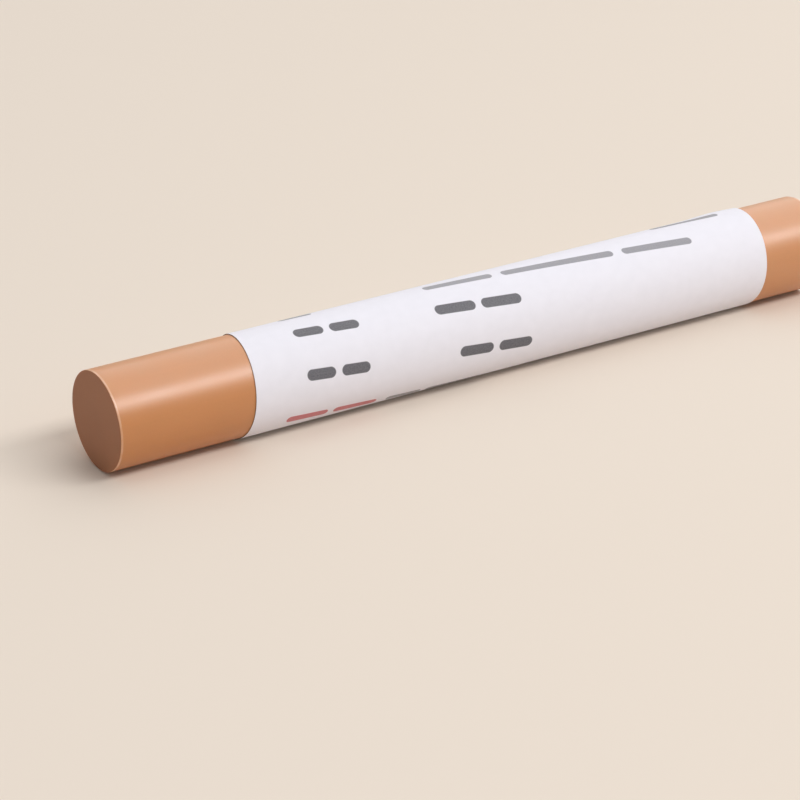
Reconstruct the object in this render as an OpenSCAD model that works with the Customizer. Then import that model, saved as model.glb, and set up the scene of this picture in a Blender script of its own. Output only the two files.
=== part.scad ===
// Furniture repair wax stick, lying on its side.
// A cast stick of coloured wax carries a paper label, which its own adhesive holds.
// The label is a flat rectangle that is wrapped round the stick a little askew,
// so its edges wind round the stick, and its last stretch laps over its first.
// The stick's axis runs along X, and Z = 0 is the surface that the stick lies on.

/* [Wax stick] */
// Diameter of the stick
stick_d = 10; // [8:0.1:16]
// Length of the stick
stick_l = 84.3; // [80:0.1:140]
// Radius that rounds the rim of each end
rim_r = 0.15; // [0.05:0.01:0.5]

/* [Label] */
// Width of the label as cut, which lies nearly along the stick
label_w = 61.6; // [40:0.1:64]
// Bare wax at the stick's near end, measured along its front
bare_l = 14.55; // [5:0.05:18]
// Length by which the label laps over its own first edge
lap_l = 4.5; // [2:0.1:8]
// Length over which the label climbs on to its own first edge
climb_l = 1; // [0.5:0.1:3]
// Angle by which the label is wrapped askew
skew_turn = 5.2; // [0:0.1:8]
// Place of the label's first edge round the stick, up from its front
seam_turn = 169.5; // [150:0.5:190]
// Thickness of the label's paper
paper_t = 0.07; // [0.06:0.01:0.2]
// Thickness of the adhesive on the label's back
glue_t = 0.015; // [0.01:0.005:0.05]

/* [Hidden] */

// Least number of facets that one turn of the label is drawn with
turn_facets = 32;

stick_r = stick_d / 2;
ply_t = glue_t + paper_t;

// The label as cut: one turn at the middle of its paper, and the lap
turn_l = 2 * PI * (stick_r + glue_t + paper_t / 2);
crossing_l = turn_l * cos(skew_turn);
label_l = crossing_l + lap_l;

// The label is drawn in facets, row by row across its width. A row is as wide as the stretch over
// which the slant shifts it by one facet, so the folds between facets run along the stick.
slant_l = label_w * tan(skew_turn);
rows = max(1, ceil(slant_l * turn_facets / crossing_l));
step_l = slant_l > 0 ? slant_l / rows : crossing_l / turn_facets;
steps = ceil(label_l / step_l);
row_w = label_w / rows;

// The folds stand off so that the flats between them just clear the wax, and in the lap the first layer
fold_turn = 360 * step_l * cos(skew_turn) / turn_l;
wrap_r = stick_r / cos(fold_turn / 2);
lap_lift = (wrap_r + ply_t) / cos(fold_turn / 2) - wrap_r;

// The label's middle line crosses the front of the stick this far along the stick and the label
label_mid_x = bare_l + label_w / cos(skew_turn) / 2 - stick_l / 2;
front_l = (1 - seam_turn / 360) * turn_l / cos(skew_turn);

// Goes from 0 to 1 with level ends
function smooth(t) = let (k = min(max(t, 0), 1)) k * k * (3 - 2 * k);

// Distance from the stick's axis of a place on the label, at a height above its back
function label_reach(along, height) =
    wrap_r + height + lap_lift * smooth((along - crossing_l + step_l) / climb_l + 1);

// Turn round the stick, up from its front, of a place on the label
function label_turn(along, across) =
    seam_turn - 360 + 360 * (along * cos(skew_turn) - (across - label_w / 2) * sin(skew_turn)) / turn_l;

// Place along the stick of a place on the label
function label_x(along, across) =
    label_mid_x + (along - front_l) * sin(skew_turn) + (across - label_w / 2) * cos(skew_turn);

// A point of the wrapped label, with the stick's axis at a height of 0
function label_point(along, across, height) =
    let (
        reach = label_reach(along, height),
        turn = label_turn(along, across)
    )
    [label_x(along, across), -reach * cos(turn), reach * sin(turn)];

// All points of one side of the label, row after row
function label_points(height) = [
    for (i = [0:steps], j = [0:rows])
        label_point(min(i * step_l, label_l), j * row_w, height)
];

// The stick lies on the lowest place of its label
axis_z = max([for (place = label_points(ply_t)) -place.z]);

// Number of a point in the wrapped sheet: side 0 faces the stick, and side 1 faces out
function point_at(side, i, j) = (side * (steps + 1) + i) * (rows + 1) + j;

// Four corners as two triangles
function corners(a, b, c, d) = [[a, b, c], [a, c, d]];

// A layer of the label, wrapped round the stick, from one height above its back to another
module wrapped_layer(low, high) {
    points = concat(label_points(low), label_points(high));
    outside = [
        for (i = [0:steps - 1], j = [0:rows - 1])
            each corners(point_at(1, i, j), point_at(1, i + 1, j),
                         point_at(1, i + 1, j + 1), point_at(1, i, j + 1))
    ];
    inside = [
        for (i = [0:steps - 1], j = [0:rows - 1])
            each corners(point_at(0, i, j), point_at(0, i, j + 1),
                         point_at(0, i + 1, j + 1), point_at(0, i + 1, j))
    ];
    near_edge = [
        for (i = [0:steps - 1])
            each corners(point_at(0, i, 0), point_at(0, i + 1, 0),
                         point_at(1, i + 1, 0), point_at(1, i, 0))
    ];
    far_edge = [
        for (i = [0:steps - 1])
            each corners(point_at(1, i, rows), point_at(1, i + 1, rows),
                         point_at(0, i + 1, rows), point_at(0, i, rows))
    ];
    first_edge = [
        for (j = [0:rows - 1])
            each corners(point_at(1, 0, j), point_at(1, 0, j + 1),
                         point_at(0, 0, j + 1), point_at(0, 0, j))
    ];
    last_edge = [
        for (j = [0:rows - 1])
            each corners(point_at(1, steps, j + 1), point_at(1, steps, j),
                         point_at(0, steps, j), point_at(0, steps, j + 1))
    ];
    translate([0, 0, axis_z])
        polyhedron(points, concat(outside, inside, near_edge, far_edge, first_edge, last_edge));
}

// Half of the stick's lengthwise section, from its axis out, with a round at each rim
module stick_section() {
    square([stick_r - rim_r, stick_l]);
    translate([0, rim_r])
        square([stick_r, stick_l - 2 * rim_r]);
    for (rim_place = [rim_r, stick_l - rim_r])
        translate([stick_r - rim_r, rim_place])
            circle(rim_r, $fn = 48);
}

// The wax, cast as one solid stick
module wax_stick() {
    color("#d09a6e")
        translate([-stick_l / 2, 0, axis_z])
            rotate([0, 90, 0])
                rotate_extrude($fn = 180)
                    stick_section();
}

// The pressure-sensitive adhesive, spread over the whole back of the label
module label_adhesive() {
    color("#e6dfcb")
        wrapped_layer(0, glue_t);
}

// The paper of the label
module label_paper() {
    color("#efedf1")
        wrapped_layer(glue_t, ply_t);
}

wax_stick();
label_adhesive();
label_paper();
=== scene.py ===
"""Looks of a furniture repair wax stick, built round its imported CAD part.

The stick is cast in mesh code, and its label is wrapped round it by a Geometry Nodes tree
that repeats the CAD model's wrap: a rectangle of paper, turned a little askew, whose last
stretch laps over its first. Every length is in metres, in the CAD model's own frame,
apart from the patterns of the materials, which are in mm.
"""

import math

import bpy
from bpy.props import FloatProperty, FloatVectorProperty, IntProperty, PointerProperty
from mathutils import Matrix, Vector, noise


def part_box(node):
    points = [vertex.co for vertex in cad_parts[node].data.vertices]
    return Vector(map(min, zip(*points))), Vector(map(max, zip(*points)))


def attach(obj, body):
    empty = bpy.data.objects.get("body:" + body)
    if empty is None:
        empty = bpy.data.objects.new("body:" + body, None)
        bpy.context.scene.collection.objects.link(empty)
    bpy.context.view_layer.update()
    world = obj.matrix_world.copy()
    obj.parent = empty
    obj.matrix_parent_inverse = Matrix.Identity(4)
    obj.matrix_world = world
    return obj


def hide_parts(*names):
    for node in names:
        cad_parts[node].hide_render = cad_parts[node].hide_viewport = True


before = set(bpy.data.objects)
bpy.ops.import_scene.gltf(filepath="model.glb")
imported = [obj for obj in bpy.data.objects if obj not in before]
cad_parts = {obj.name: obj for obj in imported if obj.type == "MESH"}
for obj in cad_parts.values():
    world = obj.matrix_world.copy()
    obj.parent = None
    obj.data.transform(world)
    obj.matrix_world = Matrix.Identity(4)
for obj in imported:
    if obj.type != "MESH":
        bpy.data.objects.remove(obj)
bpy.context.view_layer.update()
WAX_LOW, WAX_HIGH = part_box("wax_stick")

bl_info = {
    "name": "Furniture Repair Wax Stick",
    "version": (1, 0, 0),
    "blender": (4, 5, 0),
    "location": "View3D > Sidebar > Wax Stick",
    "description": "Casts a stick of repair wax and wraps its paper label",
    "category": "Object",
}

MM = 0.001


def linear(hex_colour):
    """An sRGB hex colour as the linear numbers that Blender's sockets take."""
    shares = [int(hex_colour[i : i + 2], 16) / 255 for i in (1, 3, 5)]
    return tuple(c / 12.92 if c <= 0.04045 else ((c + 0.055) / 1.055) ** 2.4 for c in shares)


class WaxSizes(bpy.types.PropertyGroup):
    """Sizes of the cast stick"""

    diameter: FloatProperty(
        name="Diameter", description="Diameter of the stick", default=WAX_HIGH.z - WAX_LOW.z, unit="LENGTH"
    )
    length: FloatProperty(
        name="Length", description="Length of the stick", default=WAX_HIGH.x - WAX_LOW.x, unit="LENGTH"
    )
    axis_height: FloatProperty(
        name="Axis height",
        description="Height of the stick's axis above the surface that it lies on",
        default=(WAX_HIGH.z + WAX_LOW.z) / 2,
        unit="LENGTH",
    )
    rim: FloatProperty(
        name="Rim round",
        description="Radius that rounds the rim of each end",
        default=0.05 * MM,
        unit="LENGTH",
        precision=5,
    )
    # Width of the pale band along each rim, which is a painted highlight.
    painted_rim_highlight: FloatProperty(
        name="Painted rim highlight width",
        description="Width of the rubbed line along each rim",
        default=0.2 * MM,
        unit="LENGTH",
        precision=5,
    )
    dish: FloatProperty(
        name="End dish",
        description="Depth by which the cut ends dip in the middle",
        default=0.03 * MM,
        unit="LENGTH",
        precision=5,
    )
    waver: FloatProperty(
        name="Waver",
        description="Depth of the hollows that casting left in the barrel",
        default=0.012 * MM,
        unit="LENGTH",
        precision=5,
    )
    sides: IntProperty(name="Sides", description="Faces round the stick", default=256, min=32)
    rings: IntProperty(name="Rings", description="Faces along the barrel", default=140, min=8)


class LabelSizes(bpy.types.PropertyGroup):
    """Sizes of the label as cut, and how it is wrapped"""

    width: FloatProperty(
        name="Width",
        description="Width of the label, nearly along the stick",
        default=61.6 * MM,
        unit="LENGTH",
    )
    bare: FloatProperty(
        name="Bare end",
        description="Bare wax at the near end, along the front",
        default=14.55 * MM,
        unit="LENGTH",
    )
    lap: FloatProperty(
        name="Lap", description="Length that laps over the first edge", default=4.5 * MM, unit="LENGTH"
    )
    climb: FloatProperty(
        name="Climb",
        description="Length over which the label climbs on to its lap",
        default=1.0 * MM,
        unit="LENGTH",
    )
    skew: FloatProperty(
        name="Skew",
        description="Angle by which the label is askew",
        default=math.radians(5.2),
        subtype="ANGLE",
    )
    seam: FloatProperty(
        name="Seam",
        description="Place of the first edge, up from the front",
        default=math.radians(169.5),
        subtype="ANGLE",
    )
    paper: FloatProperty(
        name="Paper", description="Thickness of the paper", default=0.07 * MM, unit="LENGTH", precision=5
    )
    glue: FloatProperty(
        name="Adhesive",
        description="Thickness of the adhesive",
        default=0.015 * MM,
        unit="LENGTH",
        precision=5,
    )
    slack: FloatProperty(
        name="Slack",
        description="Gap that keeps two layers apart",
        default=0.001 * MM,
        unit="LENGTH",
        precision=6,
    )
    end_lift: FloatProperty(
        name="End lift",
        description="How far the lap's last edge has sprung up",
        default=0.03 * MM,
        unit="LENGTH",
        precision=5,
    )
    end_length: FloatProperty(
        name="Sprung end",
        description="Length of the lap that has sprung up",
        default=1.5 * MM,
        unit="LENGTH",
    )
    bulge: FloatProperty(
        name="Bulge",
        description="Height of the loose place near the far edge",
        default=0.15 * MM,
        unit="LENGTH",
        precision=5,
    )
    bulge_turn: FloatProperty(
        name="Bulge turn",
        description="Place of the loose place round the stick, up from the front",
        default=math.radians(119),
        subtype="ANGLE",
    )
    bulge_x: FloatProperty(
        name="Bulge place",
        description="Place of the loose place along the stick, from its middle",
        default=32.5 * MM,
        unit="LENGTH",
    )
    bulge_girth: FloatProperty(
        name="Bulge girth",
        description="Half size of the loose place round the stick",
        default=2.6 * MM,
        unit="LENGTH",
    )
    bulge_length: FloatProperty(
        name="Bulge length",
        description="Half size of the loose place along the stick",
        default=4.5 * MM,
        unit="LENGTH",
    )
    ripple: FloatProperty(
        name="Ripple",
        description="Height of the ripples along the long edges",
        default=0.02 * MM,
        unit="LENGTH",
        precision=5,
    )
    ripple_band: FloatProperty(
        name="Ripple band", description="Width of the edge that ripples", default=3.0 * MM, unit="LENGTH"
    )
    steps: IntProperty(name="Steps", description="Faces round the label", default=280, min=40)
    rows: IntProperty(name="Rows", description="Faces across the label", default=96, min=4)
    seed: IntProperty(name="Seed", description="Seed of the ripples", default=7)


class Finishes(bpy.types.PropertyGroup):
    """Colours of the object and its stage"""

    wax: FloatVectorProperty(
        name="Wax",
        description="Colour of the wax",
        default=linear("#c47e40"),
        subtype="COLOR",
        min=0,
        max=1,
    )
    # The far end's paler colour is painted light: that end is more strongly lit.
    far_wax_painted_light: FloatVectorProperty(
        name="Far wax",
        description="Colour of the wax at its far end",
        default=linear("#c98855"),
        subtype="COLOR",
        min=0,
        max=1,
    )
    # The cut ends' colour is the sliced wax's deeper tone, darkened further by painted shade.
    cut_wax_painted_shade: FloatVectorProperty(
        name="Cut wax",
        description="Colour of the cut ends",
        default=linear("#a36f51"),
        subtype="COLOR",
        min=0,
        max=1,
    )
    # The pale colour along the rims is a painted highlight.
    painted_rim_highlight: FloatVectorProperty(
        name="Painted rim highlight colour",
        description="Colour of rubbed wax",
        default=linear("#f8dbc4"),
        subtype="COLOR",
        min=0,
        max=1,
    )
    paper: FloatVectorProperty(
        name="Paper",
        description="Colour of the label paper",
        default=linear("#eeecf4"),
        subtype="COLOR",
        min=0,
        max=1,
    )
    # The dark colour of the paper's cut edges is painted shade.
    cut_edge_painted_shade: FloatVectorProperty(
        name="Cut edge",
        description="Colour of the paper's shade_painted cut edge",
        default=linear("#97806f"),
        subtype="COLOR",
        min=0,
        max=1,
    )
    ink: FloatVectorProperty(
        name="Ink",
        description="Colour of the dark print",
        default=linear("#505056"),
        subtype="COLOR",
        min=0,
        max=1,
    )
    red_ink: FloatVectorProperty(
        name="Red ink",
        description="Colour of the red print",
        default=linear("#c4565a"),
        subtype="COLOR",
        min=0,
        max=1,
    )
    glue: FloatVectorProperty(
        name="Adhesive",
        description="Colour of the adhesive",
        default=linear("#c9b894"),
        subtype="COLOR",
        min=0,
        max=1,
    )
    floor: FloatVectorProperty(
        name="Floor",
        description="Colour of the floor",
        default=linear("#ede1d4"),
        subtype="COLOR",
        min=0,
        max=1,
    )


class WaxStickSettings(bpy.types.PropertyGroup):
    """All that a user would change"""

    wax: PointerProperty(name="Wax", description="Sizes of the stick", type=WaxSizes)
    label: PointerProperty(name="Label", description="Sizes of the label", type=LabelSizes)
    finish: PointerProperty(name="Finish", description="Colours of all surfaces", type=Finishes)


def add_node(tree, kind, links=None, **settings):
    """Adds a node with its settings, and gives each named or numbered input a link or a plain value."""
    node = tree.nodes.new(kind)
    for name, value in settings.items():
        setattr(node, name, value)
    for key, value in (links or {}).items():
        if isinstance(value, bpy.types.NodeSocket):
            tree.links.new(value, node.inputs[key])
        else:
            node.inputs[key].default_value = value
    return node


def new_material(name):
    """An empty material, its tree and its output node."""
    material = bpy.data.materials.new(name)
    material.use_nodes = True
    material.node_tree.nodes.clear()
    return material, material.node_tree, add_node(material.node_tree, "ShaderNodeOutputMaterial")


def finish_piece(obj, node):
    """Puts a finished piece in place of its CAD node: hangs it on the root body and hides the node."""
    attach(obj, "root")
    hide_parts(node)


# Most values of a noise texture lie in this span.
NOISE_SPAN = {"From Min": 0.3, "From Max": 0.7}

# Cloudy places in the wax, in mm.
WAX_CLOUD = 4.0
# Grains of pigment are about 0.1 mm, and are drawn coarser so that they show.
WAX_GRAIN = 0.2
# Streaks that the melt left as it ran along the stick.
STREAK_LENGTH, STREAK_WIDTH = 25.0, 0.8
# Places along a rim where the painted highlight is alike in strength.
HIGHLIGHT_PATCH = 1.5
# Lines that the blade left across a cut end.
BLADE_LENGTH, BLADE_SPACING = 8.0, 0.33


def wax_body(name):
    """A new wax material, and what all wax has: places in mm, cloudy places and grains of pigment."""
    material, tree, output = new_material(name)
    place = add_node(tree, "ShaderNodeTexCoord").outputs["Object"]
    in_mm = add_node(
        tree, "ShaderNodeVectorMath", {0: place, "Scale": 1 / MM}, operation="SCALE"
    ).outputs[0]
    clouds = add_node(
        tree, "ShaderNodeTexNoise", {"Vector": in_mm, "Scale": 1 / WAX_CLOUD, "Detail": 2.0}
    ).outputs[0]
    grains = add_node(
        tree, "ShaderNodeTexNoise", {"Vector": in_mm, "Scale": 1 / WAX_GRAIN, "Detail": 1.0}
    ).outputs[0]
    return material, tree, output, in_mm, clouds, grains


def wax_shader(tree, output, colour, tones, marks, grains, roughness, shine):
    """Ends a wax material: a nearly even colour, faint relief, and light that sinks in a little."""
    tone = add_node(
        tree, "ShaderNodeMapRange", {"Value": tones, **NOISE_SPAN, "To Min": 0.97, "To Max": 1.03}
    ).outputs[0]
    grain = add_node(
        tree, "ShaderNodeMapRange", {"Value": grains, **NOISE_SPAN, "To Min": 0.99, "To Max": 1.01}
    ).outputs[0]
    shade = add_node(tree, "ShaderNodeMath", {0: tone, 1: grain}, operation="MULTIPLY").outputs[0]
    body = add_node(tree, "ShaderNodeVectorMath", {0: colour, "Scale": shade}, operation="SCALE").outputs[0]
    relief = add_node(
        tree, "ShaderNodeMath", {0: grains, 1: 0.25, 2: marks}, operation="MULTIPLY_ADD"
    ).outputs[0]
    bump = add_node(
        tree, "ShaderNodeBump", {"Height": relief, "Strength": 0.12, "Distance": 0.02 * MM}
    ).outputs[0]
    wax = add_node(
        tree,
        "ShaderNodeBsdfPrincipled",
        {
            "Base Color": body,
            "Roughness": roughness,
            "IOR": 1.55,
            "Specular IOR Level": shine,
            "Subsurface Weight": 0.2,
            "Subsurface Radius": (1.0, 0.45, 0.2),
            "Subsurface Scale": 0.6 * MM,
            "Normal": bump,
        },
    )
    tree.links.new(wax.outputs[0], output.inputs["Surface"])


def cast_wax_material(finish, length):
    """Hard pigmented wax, cast in a smooth tube, which polished its skin.

    To the eye that gives a broad, soft highlight with no sharp edge, and faint streaks along the stick
    where the melt ran. Painted light pales the colour towards the far end, and a painted highlight pales
    the rims.
    """
    material, tree, output, in_mm, clouds, grains = wax_body("cast_pigmented_wax")
    along_streaks = (1 / STREAK_LENGTH, 1 / STREAK_WIDTH, 1 / STREAK_WIDTH)
    drawn = add_node(tree, "ShaderNodeMapping", {"Vector": in_mm, "Scale": along_streaks}).outputs[0]
    streaks = add_node(
        tree, "ShaderNodeTexNoise", {"Vector": drawn, "Scale": 1.0, "Detail": 3.0}
    ).outputs[0]
    tones = add_node(tree, "ShaderNodeMix", {0: 0.5, 2: streaks, 3: clouds}, data_type="FLOAT").outputs[0]
    # Painted light: the colour pales towards the far end, which is more strongly lit.
    half = length / 2 / MM
    along = add_node(tree, "ShaderNodeSeparateXYZ", {0: in_mm}).outputs["X"]
    far = add_node(
        tree, "ShaderNodeMapRange", {"Value": along, "From Min": -half, "From Max": half}
    ).outputs[0]
    skin = add_node(
        tree, "ShaderNodeMix", {0: far, 6: (*finish.wax, 1), 7: (*finish.far_wax_painted_light, 1)}, data_type="RGBA"
    ).outputs[2]
    # Painted highlight: the rims are paled, more in some places than in others.
    rim = add_node(tree, "ShaderNodeAttribute", attribute_name="rim").outputs["Fac"]
    patches = add_node(
        tree, "ShaderNodeTexNoise", {"Vector": in_mm, "Scale": 1 / HIGHLIGHT_PATCH, "Detail": 3.0}
    ).outputs[0]
    painted_highlight = add_node(
        tree, "ShaderNodeMapRange", {"Value": patches, **NOISE_SPAN, "To Min": 0.15, "To Max": 0.5}
    ).outputs[0]
    wear_and_painted_highlight = add_node(tree, "ShaderNodeMath", {0: rim, 1: painted_highlight}, operation="MULTIPLY").outputs[0]
    colour = add_node(
        tree, "ShaderNodeMix", {0: wear_and_painted_highlight, 6: skin, 7: (*finish.painted_rim_highlight, 1)}, data_type="RGBA"
    ).outputs[2]
    roughness = add_node(
        tree, "ShaderNodeMapRange", {"Value": clouds, **NOISE_SPAN, "To Min": 0.35, "To Max": 0.4}
    ).outputs[0]
    wax_shader(tree, output, colour, tones, streaks, grains, roughness, shine=1.0)
    return material


def sliced_wax_material(finish):
    """Hard pigmented wax, sliced across by a blade, which took off the polished skin.

    To the eye that gives a flat, dull face in a deeper colour that holds painted shade, with faint lines up
    it that the blade left.
    """
    material, tree, output, in_mm, clouds, grains = wax_body("sliced_wax_painted_shade")
    up_lines = (0.0, 1 / BLADE_SPACING, 1 / BLADE_LENGTH)
    across = add_node(tree, "ShaderNodeMapping", {"Vector": in_mm, "Scale": up_lines}).outputs[0]
    blade = add_node(tree, "ShaderNodeTexNoise", {"Vector": across, "Scale": 1.0, "Detail": 2.0}).outputs[0]
    # The cut ends' colour holds painted shade.
    wax_shader(tree, output, tuple(finish.cut_wax_painted_shade), clouds, blade, grains, roughness=0.55, shine=0.2)
    return material


# Print on the label as plain bars, in lines that run across it:
# (place along the girth, height of the bars, ((start, end), ...)) in mm on the flat label.
DARK_LINES = (
    (20.8, 1.1, ((5.6, 8.8), (9.5, 12.7), (21.2, 25.8), (26.5, 31.1))),
    (16.2, 1.1, ((5.7, 8.9), (9.6, 12.8), (23.3, 27.3), (28.0, 32.0))),
)
GREY_LINES = (
    (28.2, 0.8, ((50.3, 58.6),)),
    (24.4, 0.9, ((5.6, 9.2), (21.6, 29.4), (30.5, 43.6), (44.7, 53.1))),
    (11.3, 0.8, ((16.0, 20.2), (20.9, 27.6))),
)
RED_LINES = ((11.4, 0.9, ((4.1, 8.9), (9.6, 14.7))),)
# Ink fades over this much at each side of a bar's edge, in mm.
INK_SPREAD = 0.04
# Clouds and single fibres in the paper, in mm.
FIBRE_CLOUD, FIBRE = 1.25, 0.16
# One unit of the label's map.
MAP_UNIT = 100 * MM


def printed_bar_group():
    """A shader group that is 1 inside a bar with round ends, and 0 outside it."""
    tree = bpy.data.node_groups.new("printed_bar", "ShaderNodeTree")
    for name in ("Place", "Middle", "Half Line"):
        tree.interface.new_socket(name=name, in_out="INPUT", socket_type="NodeSocketVector")
    for name in ("Inner", "Outer"):
        tree.interface.new_socket(name=name, in_out="INPUT", socket_type="NodeSocketFloat")
    tree.interface.new_socket(name="Ink", in_out="OUTPUT", socket_type="NodeSocketFloat")
    given = add_node(tree, "NodeGroupInput").outputs
    apart = add_node(
        tree, "ShaderNodeVectorMath", {0: given["Place"], 1: given["Middle"]}, operation="SUBTRACT"
    ).outputs[0]
    away = add_node(tree, "ShaderNodeVectorMath", {0: apart}, operation="ABSOLUTE").outputs[0]
    past = add_node(
        tree, "ShaderNodeVectorMath", {0: away, 1: given["Half Line"]}, operation="SUBTRACT"
    ).outputs[0]
    outside = add_node(
        tree, "ShaderNodeVectorMath", {0: past, 1: (0, 0, 0)}, operation="MAXIMUM"
    ).outputs[0]
    gap = add_node(tree, "ShaderNodeVectorMath", {0: outside}, operation="LENGTH").outputs["Value"]
    ink = add_node(
        tree,
        "ShaderNodeMapRange",
        {"Value": gap, "From Min": given["Outer"], "From Max": given["Inner"]},
        interpolation_type="SMOOTHSTEP",
    ).outputs[0]
    add_node(tree, "NodeGroupOutput", {"Ink": ink})
    return tree


def printed_bars(tree, group, in_mm, lines):
    """The share of ink that the bars of these lines put on each place of the label."""
    ink = 0.0
    for along, height, bars in lines:
        for start, end in bars:
            bar = add_node(
                tree,
                "ShaderNodeGroup",
                {
                    "Place": in_mm,
                    "Middle": ((start + end) / 2, along, 0.0),
                    "Half Line": ((end - start - height) / 2, 0.0, 0.0),
                    "Inner": height / 2 - INK_SPREAD,
                    "Outer": height / 2 + INK_SPREAD,
                },
                node_tree=group,
            ).outputs[0]
            ink = add_node(tree, "ShaderNodeMath", {0: ink, 1: bar}, operation="MAXIMUM").outputs[0]
    return ink


def printed_paper_material(finish):
    """Coated label paper, printed: white with a slight lilac brightener, matt, with a fibre tooth.

    To the eye that gives a clean, even white that greys softly in shade, hardly any shine, faint
    clouding from the fibres, painted shade on the cut edges, and print that is dark but not black.
    """
    material, tree, output = new_material("printed_label_paper")
    uv = add_node(tree, "ShaderNodeUVMap", uv_map="UVMap").outputs[0]
    in_mm = add_node(
        tree, "ShaderNodeVectorMath", {0: uv, "Scale": MAP_UNIT / MM}, operation="SCALE"
    ).outputs[0]
    clouds = add_node(
        tree, "ShaderNodeTexNoise", {"Vector": in_mm, "Scale": 1 / FIBRE_CLOUD, "Detail": 3.0}
    ).outputs[0]
    fibres = add_node(
        tree, "ShaderNodeTexNoise", {"Vector": in_mm, "Scale": 1 / FIBRE, "Detail": 2.0}
    ).outputs[0]
    tone = add_node(
        tree, "ShaderNodeMapRange", {"Value": clouds, **NOISE_SPAN, "To Min": 0.975, "To Max": 1.0}
    ).outputs[0]
    colour = add_node(
        tree, "ShaderNodeVectorMath", {0: tuple(finish.paper), "Scale": tone}, operation="SCALE"
    ).outputs[0]
    # Ink lies a little thinner where fibres stand up.
    thin = add_node(
        tree, "ShaderNodeMapRange", {"Value": fibres, **NOISE_SPAN, "To Min": 0.92, "To Max": 1.0}
    ).outputs[0]
    group = printed_bar_group()
    all_ink = 0.0
    for lines, ink_colour, cover in (
        (DARK_LINES, finish.ink, 0.95),
        (GREY_LINES, finish.ink, 0.7),
        (RED_LINES, finish.red_ink, 0.9),
    ):
        bars = printed_bars(tree, group, in_mm, lines)
        inked = add_node(tree, "ShaderNodeMath", {0: bars, 1: thin}, operation="MULTIPLY").outputs[0]
        ink = add_node(tree, "ShaderNodeMath", {0: inked, 1: cover}, operation="MULTIPLY").outputs[0]
        colour = add_node(
            tree, "ShaderNodeMix", {0: ink, 6: colour, 7: (*ink_colour, 1)}, data_type="RGBA"
        ).outputs[2]
        all_ink = add_node(tree, "ShaderNodeMath", {0: all_ink, 1: ink}, operation="MAXIMUM").outputs[0]
    # The cut edges get a dark colour that is painted shade.
    edge = add_node(tree, "ShaderNodeAttribute", attribute_name="cut_edge_painted_shade").outputs["Fac"]
    colour = add_node(
        tree, "ShaderNodeMix", {0: edge, 6: colour, 7: (*finish.cut_edge_painted_shade, 1)}, data_type="RGBA"
    ).outputs[2]
    # Ink fills the paper's tooth, so print is a little smoother.
    roughness = add_node(
        tree, "ShaderNodeMapRange", {"Value": all_ink, "To Min": 0.62, "To Max": 0.5}
    ).outputs[0]
    tooth = add_node(
        tree, "ShaderNodeMath", {0: fibres, 1: 0.4, 2: clouds}, operation="MULTIPLY_ADD"
    ).outputs[0]
    bump = add_node(
        tree, "ShaderNodeBump", {"Height": tooth, "Strength": 0.15, "Distance": 0.02 * MM}
    ).outputs[0]
    paper = add_node(
        tree,
        "ShaderNodeBsdfPrincipled",
        {
            "Base Color": colour,
            "Roughness": roughness,
            "IOR": 1.45,
            "Specular IOR Level": 0.35,
            "Normal": bump,
        },
    )
    tree.links.new(paper.outputs[0], output.inputs["Surface"])
    return material


# Spots of dust that the adhesive has caught, in mm.
DUST_SPOT = 0.5


def acrylic_glue_material(finish):
    """Acrylic pressure-sensitive adhesive, coated as a film.

    To the eye that gives a glossy, yellowish line under the paper's edge, duller and darker where
    it has caught dust.
    """
    material, tree, output = new_material("acrylic_adhesive_film")
    place = add_node(tree, "ShaderNodeTexCoord").outputs["Object"]
    in_mm = add_node(
        tree, "ShaderNodeVectorMath", {0: place, "Scale": 1 / MM}, operation="SCALE"
    ).outputs[0]
    clean = add_node(
        tree, "ShaderNodeTexNoise", {"Vector": in_mm, "Scale": 1 / DUST_SPOT, "Detail": 3.0}
    ).outputs[0]
    tone = add_node(
        tree, "ShaderNodeMapRange", {"Value": clean, **NOISE_SPAN, "To Min": 0.7, "To Max": 1.0}
    ).outputs[0]
    colour = add_node(
        tree, "ShaderNodeVectorMath", {0: tuple(finish.glue), "Scale": tone}, operation="SCALE"
    ).outputs[0]
    roughness = add_node(
        tree, "ShaderNodeMapRange", {"Value": clean, **NOISE_SPAN, "To Min": 0.5, "To Max": 0.2}
    ).outputs[0]
    glue = add_node(
        tree, "ShaderNodeBsdfPrincipled", {"Base Color": colour, "Roughness": roughness, "IOR": 1.47}
    )
    tree.links.new(glue.outputs[0], output.inputs["Surface"])
    return material


# Faces from the middle of an end to its rim, and round the rim.
FACE_RINGS, RIM_STEPS = 14, 6
# The share of the painted rim highlight's width that is painted fully. The rest of it fades.
HIGHLIGHT_FULL_SHARE = 0.6
# Hollows that casting left, along the stick and round it.
HOLLOW_LENGTH, HOLLOW_WIDTH = 10 * MM, 4 * MM
# Worn places along a rim, and the share of its round that they take off.
WORN_PLACE = 1.5 * MM
WORN_SHARE = 0.3
# Where the near and the far rim's wear lies in the noise.
NEAR_WEAR, FAR_WEAR = 9.0, 17.0


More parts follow.
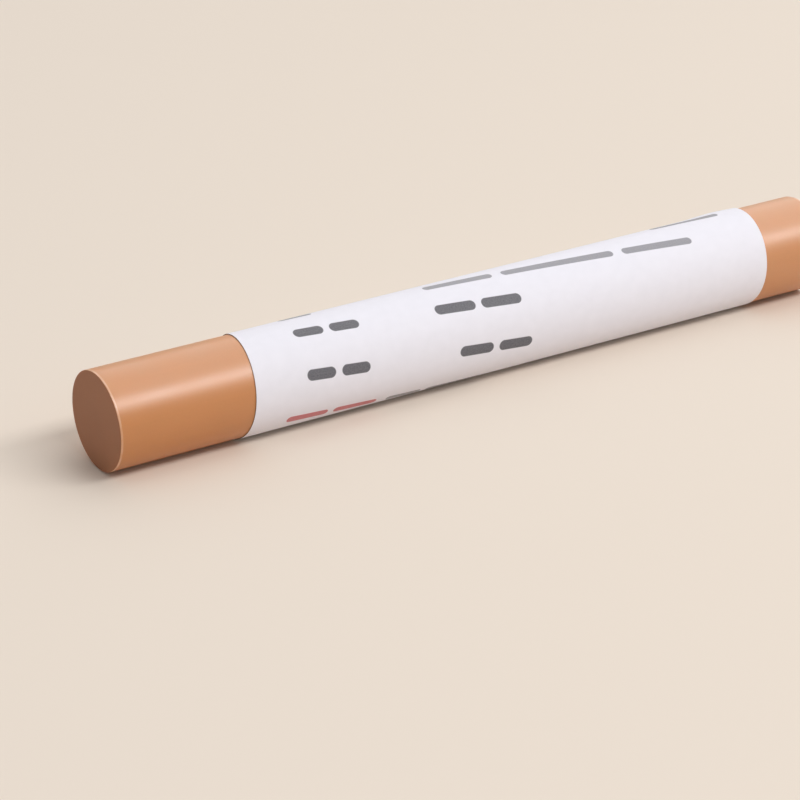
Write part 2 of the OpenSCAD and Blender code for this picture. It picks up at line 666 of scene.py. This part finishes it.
def stick_profile(sizes):
    """Half section of the stick, from the near end to the far one: (x, radius, rim share, is cut)."""
    half, radius, rim = sizes.length / 2, sizes.diameter / 2, sizes.rim
    flat = radius - rim
    near = []
    for i in range(1, FACE_RINGS + 1):
        reach = flat * i / FACE_RINGS
        near.append((-half + sizes.dish * (1 - (reach / flat) ** 2), reach, 0.0, True))
    for i in range(1, RIM_STEPS + 1):
        turn = math.pi / 2 * i / RIM_STEPS
        near.append((-half + rim * (1 - math.cos(turn)), flat + rim * math.sin(turn), i / RIM_STEPS, False))
    # The painted rim highlight is full as far as here, and fades along the barrel.
    near.append((-half + rim + HIGHLIGHT_FULL_SHARE * sizes.painted_rim_highlight, radius, 1.0, False))
    start = half - rim - sizes.painted_rim_highlight
    barrel = [(start * (2 * i / sizes.rings - 1), radius, 0.0, False) for i in range(sizes.rings + 1)]
    far = [(-x, reach, rim_share, cut) for x, reach, rim_share, cut in reversed(near)]
    return near + barrel + far


def stick_point(sizes, x, reach, turn, rim_share, cut):
    """A point of the stick, with the hollows that casting left in it and the wear of its rims."""
    radius = sizes.diameter / 2
    outwards = Vector((math.cos(turn), math.sin(turn), 0))
    inward = 0.0
    if not cut:
        hollow = noise.noise(Vector((x / HOLLOW_LENGTH, 0, 0)) + radius / HOLLOW_WIDTH * outwards)
        inward += sizes.waver * (0.5 + 0.5 * hollow)
    if rim_share:
        wear_and_painted_highlight = NEAR_WEAR if x < 0 else FAR_WEAR
        worn = noise.noise(Vector((wear_and_painted_highlight, 0, 0)) + radius / WORN_PLACE * outwards)
        inward += WORN_SHARE * sizes.rim * max(0.0, worn) * rim_share
    r = reach * (1 - inward / radius)
    return (x, -r * math.cos(turn), sizes.axis_height + r * math.sin(turn))


class WAXSTICK_OT_cast_stick(bpy.types.Operator):
    """Casts the stick of wax: a round bar with wavering sides, worn rims and cut ends"""

    bl_idname = "wax_stick.cast_stick"
    bl_label = "Cast Wax Stick"

    def execute(self, context):
        settings = context.scene.wax_stick
        sizes = settings.wax
        sides = sizes.sides
        profile = stick_profile(sizes)
        cuts = [cut for _, _, _, cut in profile]
        points, faces, rims, sliced = [], [], [], []
        for x, reach, rim_share, cut in profile:
            for i in range(sides):
                points.append(stick_point(sizes, x, reach, 2 * math.pi * i / sides, rim_share, cut))
                rims.append(rim_share)
        for ring in range(len(profile) - 1):
            a, b = ring * sides, (ring + 1) * sides
            for i in range(sides):
                j = (i + 1) % sides
                faces.append((a + i, b + i, b + j, a + j))
                sliced.append(cuts[ring] and cuts[ring + 1])
        for ring, order in ((0, 1), (len(profile) - 1, -1)):
            middle = len(points)
            points.append((profile[ring][0], 0, sizes.axis_height))
            rims.append(0.0)
            for i in range(sides):
                corners = (middle, ring * sides + i, ring * sides + (i + 1) % sides)
                faces.append(corners[::order])
                sliced.append(True)
        mesh = bpy.data.meshes.new("wax_stick_cast")
        mesh.from_pydata(points, [], faces)
        mesh.attributes.new("rim", "FLOAT", "POINT").data.foreach_set("value", rims)
        mesh.materials.append(cast_wax_material(settings.finish, sizes.length))
        mesh.materials.append(sliced_wax_material(settings.finish))
        mesh.polygons.foreach_set("material_index", [int(cut) for cut in sliced])
        mesh.shade_smooth()
        obj = bpy.data.objects.new("wax_stick_cast", mesh)
        context.scene.collection.objects.link(obj)
        finish_piece(obj, "wax_stick")
        return {"FINISHED"}


LABEL_INPUTS = {
    "NodeSocketFloat": (
        "Length",
        "Width",
        "Thickness",
        "Reach",
        "Axis Height",
        "Skew",
        "Turn per Length",
        "First Turn",
        "Start",
        "Lap Lift",
        "Climb Start",
        "Climb End",
        "End Lift",
        "End Start",
        "Bulge",
        "Ripple",
        "Ripple Start",
        "Seed",
    ),
    "NodeSocketVector": ("Bulge Middle", "Bulge Size"),
    "NodeSocketInt": ("Steps", "Rows"),
    "NodeSocketMaterial": ("Material",),
}
# Length of the ripples along the label's long edges.
RIPPLE_LENGTH = 5 * MM
# Above and below the axis the label ripples freely up to the first share of the stick's radius,
# and not at all beyond the second.
RIPPLE_FREE, RIPPLE_HELD = 0.8, 0.97
# Folds sharper than this are the label's cut edges.
CUT_FOLD = math.radians(50)


def cut_sheet(tree, given):
    """The label cut flat: its mesh, with its map and its cut edges marked, and each point's place on it.

    Its length lies along X, from its first edge, and its width along Y, from its middle.
    """
    size = add_node(
        tree, "ShaderNodeCombineXYZ", {"X": given["Length"], "Y": given["Width"], "Z": given["Thickness"]}
    ).outputs[0]
    block = add_node(
        tree,
        "GeometryNodeMeshCube",
        {"Size": size, "Vertices X": given["Steps"], "Vertices Y": given["Rows"], "Vertices Z": 2},
    ).outputs["Mesh"]
    position = add_node(tree, "GeometryNodeInputPosition").outputs[0]
    flat = add_node(tree, "ShaderNodeSeparateXYZ", {0: position}).outputs
    along = add_node(
        tree, "ShaderNodeMath", {0: given["Length"], 1: 0.5, 2: flat["X"]}, operation="MULTIPLY_ADD"
    ).outputs[0]
    place = add_node(tree, "ShaderNodeCombineXYZ", {"X": along, "Y": flat["Y"], "Z": flat["Z"]}).outputs[0]

    # The map goes across the label from its near edge, and along it from its first edge.
    across = add_node(
        tree, "ShaderNodeMath", {0: given["Width"], 1: 0.5, 2: flat["Y"]}, operation="MULTIPLY_ADD"
    ).outputs[0]
    on_sheet = add_node(tree, "ShaderNodeCombineXYZ", {"X": across, "Y": along, "Z": 0.0}).outputs[0]
    on_map = add_node(
        tree, "ShaderNodeVectorMath", {0: on_sheet, "Scale": 1 / MAP_UNIT}, operation="SCALE"
    ).outputs[0]
    mapped = add_node(
        tree,
        "GeometryNodeStoreNamedAttribute",
        {"Geometry": block, "Name": "UVMap", "Value": on_map},
        data_type="FLOAT2",
        domain="CORNER",
    ).outputs[0]
    # The label's cut edges are marked for the painted shade that its material puts on them.
    normal = add_node(tree, "GeometryNodeInputNormal").outputs[0]
    facing = add_node(tree, "ShaderNodeSeparateXYZ", {0: normal}).outputs["Z"]
    level = add_node(tree, "ShaderNodeMath", {0: facing}, operation="ABSOLUTE").outputs[0]
    upright = add_node(tree, "ShaderNodeMath", {0: level, 1: 0.5}, operation="LESS_THAN").outputs[0]
    sheet = add_node(
        tree,
        "GeometryNodeStoreNamedAttribute",
        {"Geometry": mapped, "Name": "cut_edge_painted_shade", "Value": upright},
        data_type="FLOAT",
        domain="FACE",
    ).outputs[0]
    return sheet, place


def lap_lifts(tree, given, along):
    """How far the lap stands off: it climbs on to the first layer, and its last edge has sprung up."""
    spans = (("Climb Start", "Climb End", "Lap Lift"), ("End Start", "Length", "End Lift"))
    return [
        add_node(
            tree,
            "ShaderNodeMapRange",
            {"Value": along, "From Min": given[start], "From Max": given[end], "To Max": given[lift]},
            interpolation_type="SMOOTHSTEP",
        ).outputs[0]
        for start, end, lift in spans
    ]


def bulge_lift(tree, given, place):
    """How far the label stands off in the place that has come loose."""
    from_middle = add_node(
        tree, "ShaderNodeVectorMath", {0: place, 1: given["Bulge Middle"]}, operation="SUBTRACT"
    ).outputs[0]
    in_bulges = add_node(
        tree, "ShaderNodeVectorMath", {0: from_middle, 1: given["Bulge Size"]}, operation="DIVIDE"
    ).outputs[0]
    away = add_node(tree, "ShaderNodeVectorMath", {0: in_bulges}, operation="LENGTH").outputs["Value"]
    return add_node(
        tree,
        "ShaderNodeMapRange",
        {"Value": away, "From Min": 1.0, "From Max": 0.0, "To Max": given["Bulge"]},
        interpolation_type="SMOOTHSTEP",
    ).outputs[0]


def ripple_lift(tree, given, place, turn):
    """How far the label's two long edges stand off where they ripple.

    They lie flat at the top, and below, where the stick's weight presses them on the surface.
    """
    in_ripples = add_node(
        tree, "ShaderNodeVectorMath", {0: place, "Scale": 1 / RIPPLE_LENGTH}, operation="SCALE"
    ).outputs[0]
    waves = add_node(
        tree,
        "ShaderNodeTexNoise",
        {"Vector": in_ripples, "W": given["Seed"], "Scale": 1.0, "Detail": 1.0},
        noise_dimensions="4D",
    ).outputs[0]
    # Only the crests of the waves lift the paper.
    crests = add_node(
        tree,
        "ShaderNodeMapRange",
        {"Value": waves, "From Min": 0.45, "From Max": 0.75, "To Max": given["Ripple"]},
    ).outputs[0]
    across = add_node(tree, "ShaderNodeSeparateXYZ", {0: place}).outputs["Y"]
    from_middle = add_node(tree, "ShaderNodeMath", {0: across}, operation="ABSOLUTE").outputs[0]
    half_width = add_node(
        tree, "ShaderNodeMath", {0: given["Width"], 1: 0.5}, operation="MULTIPLY"
    ).outputs[0]
    near_edge = add_node(
        tree,
        "ShaderNodeMapRange",
        {"Value": from_middle, "From Min": given["Ripple Start"], "From Max": half_width},
        interpolation_type="SMOOTHSTEP",
    ).outputs[0]
    height = add_node(tree, "ShaderNodeMath", {0: turn}, operation="SINE").outputs[0]
    off_axis = add_node(tree, "ShaderNodeMath", {0: height}, operation="ABSOLUTE").outputs[0]
    freedom = add_node(
        tree,
        "ShaderNodeMapRange",
        {"Value": off_axis, "From Min": RIPPLE_HELD, "From Max": RIPPLE_FREE},
        interpolation_type="SMOOTHSTEP",
    ).outputs[0]
    edge_lift = add_node(tree, "ShaderNodeMath", {0: crests, 1: near_edge}, operation="MULTIPLY").outputs[0]
    return add_node(tree, "ShaderNodeMath", {0: edge_lift, 1: freedom}, operation="MULTIPLY").outputs[0]


def rolled_position(tree, given, place):
    """Where each point of the flat label comes to lie when the label is wrapped askew round the stick."""
    on_sheet = add_node(tree, "ShaderNodeSeparateXYZ", {0: place}).outputs
    level = add_node(
        tree, "ShaderNodeCombineXYZ", {"X": on_sheet["X"], "Y": on_sheet["Y"], "Z": 0.0}
    ).outputs[0]
    # The label is turned askew on the flat, and then rolled round the stick's axis.
    askew = add_node(
        tree, "ShaderNodeVectorRotate", {"Vector": level, "Angle": given["Skew"]}, rotation_type="Z_AXIS"
    ).outputs[0]
    turned = add_node(tree, "ShaderNodeSeparateXYZ", {0: askew}).outputs
    turn = add_node(
        tree,
        "ShaderNodeMath",
        {0: turned["X"], 1: given["Turn per Length"], 2: given["First Turn"]},
        operation="MULTIPLY_ADD",
    ).outputs[0]
    x = add_node(tree, "ShaderNodeMath", {0: turned["Y"], 1: given["Start"]}, operation="ADD").outputs[0]
    reach = add_node(
        tree, "ShaderNodeMath", {0: given["Reach"], 1: on_sheet["Z"]}, operation="ADD"
    ).outputs[0]
    lifts = lap_lifts(tree, given, on_sheet["X"])
    lifts.append(bulge_lift(tree, given, level))
    lifts.append(ripple_lift(tree, given, level, turn))
    for lift in lifts:
        reach = add_node(tree, "ShaderNodeMath", {0: reach, 1: lift}, operation="ADD").outputs[0]
    forward = add_node(tree, "ShaderNodeMath", {0: reach, 1: -1.0}, operation="MULTIPLY").outputs[0]
    at_front = add_node(tree, "ShaderNodeCombineXYZ", {"X": x, "Y": forward, "Z": 0.0}).outputs[0]
    rolled = add_node(
        tree,
        "ShaderNodeVectorRotate",
        {"Vector": at_front, "Angle": turn},
        rotation_type="X_AXIS",
        invert=True,
    ).outputs[0]
    axis = add_node(
        tree, "ShaderNodeCombineXYZ", {"X": 0.0, "Y": 0.0, "Z": given["Axis Height"]}
    ).outputs[0]
    return add_node(tree, "ShaderNodeVectorMath", {0: rolled, 1: axis}, operation="ADD").outputs[0]


def wrapped_label_tree():
    """A Geometry Nodes tree that cuts a flat sheet and wraps it askew round the stick, with its lap."""
    tree = bpy.data.node_groups.new("wrapped_label", "GeometryNodeTree")
    for kind, names in LABEL_INPUTS.items():
        for name in names:
            tree.interface.new_socket(name=name, in_out="INPUT", socket_type=kind)
    tree.interface.new_socket(name="Geometry", in_out="OUTPUT", socket_type="NodeSocketGeometry")
    given = add_node(tree, "NodeGroupInput").outputs
    sheet, place = cut_sheet(tree, given)
    position = rolled_position(tree, given, place)
    rolled = add_node(tree, "GeometryNodeSetPosition", {"Geometry": sheet, "Position": position}).outputs[0]
    # Rolling mirrors the sheet, so its faces are turned outwards again.
    label = add_node(tree, "GeometryNodeFlipFaces", {0: rolled}).outputs[0]

    # The faces are smooth, and the cut edges stay sharp.
    smooth = add_node(tree, "GeometryNodeSetShadeSmooth", {"Geometry": label}, domain="FACE").outputs[0]
    fold = add_node(tree, "GeometryNodeInputMeshEdgeAngle").outputs["Unsigned Angle"]
    is_cut = add_node(
        tree, "FunctionNodeCompare", {0: fold, 1: CUT_FOLD}, operation="GREATER_THAN"
    ).outputs[0]
    crisp = add_node(
        tree,
        "GeometryNodeSetShadeSmooth",
        {"Geometry": smooth, "Selection": is_cut, "Shade Smooth": False},
        domain="EDGE",
    ).outputs[0]
    real = add_node(tree, "GeometryNodeRealizeInstances", {"Geometry": crisp}).outputs[0]
    dressed = add_node(
        tree, "GeometryNodeSetMaterial", {"Geometry": real, "Material": given["Material"]}
    ).outputs[0]
    add_node(tree, "NodeGroupOutput", {"Geometry": dressed})
    return tree


def grow(context, name, tree, values):
    """Runs a Geometry Nodes tree on a new object and keeps its result as a plain mesh."""
    obj = bpy.data.objects.new(name, bpy.data.meshes.new(name))
    context.scene.collection.objects.link(obj)
    modifier = obj.modifiers.new(tree.name, "NODES")
    modifier.node_group = tree
    for item in tree.interface.items_tree:
        if item.item_type == "SOCKET" and item.in_out == "INPUT":
            modifier[item.identifier] = values[item.name]
    evaluated = obj.evaluated_get(context.evaluated_depsgraph_get())
    mesh = bpy.data.meshes.new_from_object(evaluated)
    if not mesh.polygons:
        raise RuntimeError(f"{tree.name} made no faces for {name}")
    obj.modifiers.remove(modifier)
    mesh.name = name
    obj.data = mesh
    return obj


# The lap has climbed on to the first layer this long before it meets the first edge.
CLIMB_EARLY = 0.15 * MM
# The adhesive hardly shows, so its film has this share of the paper's faces each way.
GLUE_FACES = 0.5


class WAXSTICK_OT_wrap_label(bpy.types.Operator):
    """Wraps the label round the stick: the paper, and the film of adhesive on its back"""

    bl_idname = "wax_stick.wrap_label"
    bl_label = "Wrap Label"

    def execute(self, context):
        settings = context.scene.wax_stick
        wax, label, finish = settings.wax, settings.label, settings.finish
        radius = wax.diameter / 2
        skew = label.skew
        turn_length = 2 * math.pi * (radius + label.glue + label.paper / 2)
        crossing = turn_length * math.cos(skew)
        length = crossing + label.lap
        climb_end = crossing - CLIMB_EARLY
        middle_x = label.bare + label.width / math.cos(skew) / 2 - wax.length / 2
        front = (1 - label.seam / (2 * math.pi)) * turn_length / math.cos(skew)
        start = middle_x - front * math.sin(skew)
        # The loose place's middle, from its turn and place on the stick back to the flat label.
        swing = (label.bulge_turn + 2 * math.pi - label.seam) * turn_length / (2 * math.pi)
        bulge_middle = Matrix.Rotation(-skew, 3, "Z") @ Vector((swing, label.bulge_x - start, 0))
        values = {
            "Length": length,
            "Width": label.width,
            "Axis Height": wax.axis_height,
            "Skew": skew,
            "Turn per Length": 2 * math.pi / turn_length,
            "First Turn": label.seam - 2 * math.pi,
            "Start": start,
            "Lap Lift": label.glue + label.paper + 2 * label.slack,
            "Climb Start": climb_end - label.climb,
            "Climb End": climb_end,
            "End Lift": label.end_lift,
            "End Start": length - label.end_length,
            "Bulge": label.bulge,
            "Bulge Middle": bulge_middle,
            "Bulge Size": (label.bulge_girth, label.bulge_length, 1.0),
            "Ripple": label.ripple,
            "Ripple Start": label.width / 2 - label.ripple_band,
            "Seed": float(label.seed),
        }
        glue = acrylic_glue_material(finish)
        paper = printed_paper_material(finish)
        tree = wrapped_label_tree()
        for name, node, low, thickness, share, material in (
            ("label_adhesive_film", "label_adhesive", 0.0, label.glue, GLUE_FACES, glue),
            ("label_paper_sheet", "label_paper", label.glue, label.paper, 1.0, paper),
        ):
            values["Thickness"] = thickness
            values["Reach"] = radius + label.slack + low + thickness / 2
            values["Steps"] = int(label.steps * share) + 1
            values["Rows"] = int(label.rows * share) + 1
            values["Material"] = material
            finish_piece(grow(context, name, tree, values), node)
        return {"FINISHED"}


# Camera fitted to the photograph's outlines: its turn round the object, its height and its distance.
CAMERA_TURN, CAMERA_RISE = math.radians(-32.46), math.radians(24.78)
CAMERA_DISTANCE = 325.7 * MM
# What it looks at, from the middle of the stick's axis.
CAMERA_AIM = Vector((-8.09 * MM, 0, -6.22 * MM))
# Focal length and sensor width, in mm.
CAMERA_LENS, CAMERA_SENSOR = 145.7, 36.0
CAMERA_CLIP = (0.01, 50.0)

# Lamps: name, direction from the object, distance, size along X and across, radiance.
LAMPS = (
    ("strip_softbox", (0.315, -0.591, 0.743), 0.75, 0.70, 0.19, 6.95),
    ("side_softbox", (0.579, -0.579, 0.574), 1.0, 0.55, 0.45, 0.5),
    ("overhead_softbox", (0.487, 0.341, 0.804), 1.0, 0.90, 1.80, 1.20),
)
# Radiance of the even light from all round, and the share of the floor's colour that the backdrop shows.
AMBIENT, BACKDROP = 0.34, 0.92
# Half the floor's width, and how far from the object it starts and ends to fade into the backdrop.
FLOOR_HALF = 4.0
FADE_START, FADE_END = 0.12, 0.6


def seen_share(tree):
    """1 for rays that see the backdrop, from the camera, a gloss or through glass, and 0 for others."""
    rays = add_node(tree, "ShaderNodeLightPath").outputs
    seen = rays["Is Camera Ray"]
    for kind in ("Is Glossy Ray", "Is Transmission Ray"):
        seen = add_node(tree, "ShaderNodeMath", {0: seen, 1: rays[kind]}, operation="MAXIMUM").outputs[0]
    return seen


def painted_board_material(colour):
    """Matt painted board: an even pale tone, which fades into a backdrop of its own colour far away."""
    material, tree, output = new_material("matt_painted_board")
    place = add_node(tree, "ShaderNodeTexCoord").outputs["Object"]
    away = add_node(tree, "ShaderNodeVectorMath", {0: place}, operation="LENGTH").outputs["Value"]
    far = add_node(
        tree,
        "ShaderNodeMapRange",
        {"Value": away, "From Min": FADE_START, "From Max": FADE_END},
        interpolation_type="SMOOTHSTEP",
    ).outputs[0]
    share = add_node(tree, "ShaderNodeMath", {0: far, 1: seen_share(tree)}, operation="MULTIPLY").outputs[0]
    board = add_node(tree, "ShaderNodeBsdfDiffuse", {"Color": colour, "Roughness": 0.3}).outputs[0]
    backdrop = add_node(tree, "ShaderNodeEmission", {"Color": colour, "Strength": BACKDROP}).outputs[0]
    mixed = add_node(tree, "ShaderNodeMixShader", {0: share, 1: board, 2: backdrop}).outputs[0]
    tree.links.new(mixed, output.inputs["Surface"])
    return material


def lay_floor(scene, colour):
    """Lays a wide, plain floor under the object."""
    mesh = bpy.data.meshes.new("stage_floor")
    corners = [(x * FLOOR_HALF, y * FLOOR_HALF, 0) for x, y in ((-1, -1), (1, -1), (1, 1), (-1, 1))]
    mesh.from_pydata(corners, [], [(0, 1, 2, 3)])
    mesh.materials.append(painted_board_material(colour))
    floor = bpy.data.objects.new("stage_floor", mesh)
    scene.collection.objects.link(floor)


def light_world(scene, colour):
    """Gives the world the floor's tone to the eye, and only a dim, even light."""
    world = bpy.data.worlds.new("studio")
    world.use_nodes = True
    tree = world.node_tree
    tree.nodes.clear()
    backdrop = add_node(tree, "ShaderNodeBackground", {"Color": colour, "Strength": BACKDROP}).outputs[0]
    dim = add_node(tree, "ShaderNodeBackground", {"Color": (1, 1, 1, 1), "Strength": AMBIENT}).outputs[0]
    mixed = add_node(tree, "ShaderNodeMixShader", {0: seen_share(tree), 1: dim, 2: backdrop}).outputs[0]
    add_node(tree, "ShaderNodeOutputWorld", {"Surface": mixed})
    scene.world = world


def hang_lamps(scene):
    """Hangs the lamps, each facing the object, with its length as near to along X as it can lie."""
    for name, direction, distance, long_side, short_side, radiance in LAMPS:
        lamp = bpy.data.lights.new(name, "AREA")
        lamp.shape = "RECTANGLE"
        lamp.size, lamp.size_y = long_side, short_side
        lamp.energy = math.pi * long_side * short_side * radiance
        back = Vector(direction).normalized()
        side = (Vector((1, 0, 0)) - back * back.x).normalized()
        turn = Matrix((side, back.cross(side), back)).transposed()
        obj = bpy.data.objects.new(name, lamp)
        obj.matrix_world = Matrix.Translation(back * distance) @ turn.to_4x4()
        scene.collection.objects.link(obj)


def set_camera(scene, axis_height):
    """Puts the camera where the photograph was taken from."""
    lens = bpy.data.cameras.new("photo_camera")
    lens.lens, lens.sensor_width = CAMERA_LENS, CAMERA_SENSOR
    lens.clip_start, lens.clip_end = CAMERA_CLIP
    level = math.cos(CAMERA_RISE)
    back = Vector((math.sin(CAMERA_TURN) * level, -math.cos(CAMERA_TURN) * level, math.sin(CAMERA_RISE)))
    camera = bpy.data.objects.new("photo_camera", lens)
    camera.location = Vector((0, 0, axis_height)) + CAMERA_AIM + back * CAMERA_DISTANCE
    camera.rotation_euler = (-back).to_track_quat("-Z", "Y").to_euler()
    scene.collection.objects.link(camera)
    scene.camera = camera


class WAXSTICK_OT_set_stage(bpy.types.Operator):
    """Sets up the plain floor, the soft studio lamps and the camera"""

    bl_idname = "wax_stick.set_stage"
    bl_label = "Set Stage"

    def execute(self, context):
        scene = context.scene
        settings = scene.wax_stick
        colour = (*settings.finish.floor, 1)
        scene.view_settings.view_transform = "Standard"
        lay_floor(scene, colour)
        light_world(scene, colour)
        hang_lamps(scene)
        set_camera(scene, settings.wax.axis_height)
        return {"FINISHED"}


class WAXSTICK_PT_panel(bpy.types.Panel):
    """Lists the sizes, the colours and the steps"""

    bl_idname = "WAXSTICK_PT_panel"
    bl_label = "Wax Stick"
    bl_space_type = "VIEW_3D"
    bl_region_type = "UI"
    bl_category = "Wax Stick"

    def draw(self, context):
        settings = context.scene.wax_stick
        for title, group in (("Wax", settings.wax), ("Label", settings.label), ("Finish", settings.finish)):
            box = self.layout.box()
            box.label(text=title)
            for name in group.bl_rna.properties.keys():
                if name not in ("rna_type", "name"):
                    box.prop(group, name)
        for operator in OPERATORS:
            self.layout.operator(operator.bl_idname)


OPERATORS = (WAXSTICK_OT_cast_stick, WAXSTICK_OT_wrap_label, WAXSTICK_OT_set_stage)
CLASSES = (WaxSizes, LabelSizes, Finishes, WaxStickSettings, *OPERATORS, WAXSTICK_PT_panel)


def register():
    for cls in CLASSES:
        bpy.utils.register_class(cls)
    bpy.types.Scene.wax_stick = PointerProperty(
        name="Wax Stick", description="Sizes and colours of the wax stick", type=WaxStickSettings
    )


def unregister():
    del bpy.types.Scene.wax_stick
    for cls in reversed(CLASSES):
        bpy.utils.unregister_class(cls)


def main():
    register()
    bpy.ops.wax_stick.cast_stick()
    bpy.ops.wax_stick.wrap_label()
    bpy.ops.wax_stick.set_stage()


if __name__ == "__main__":
    main()
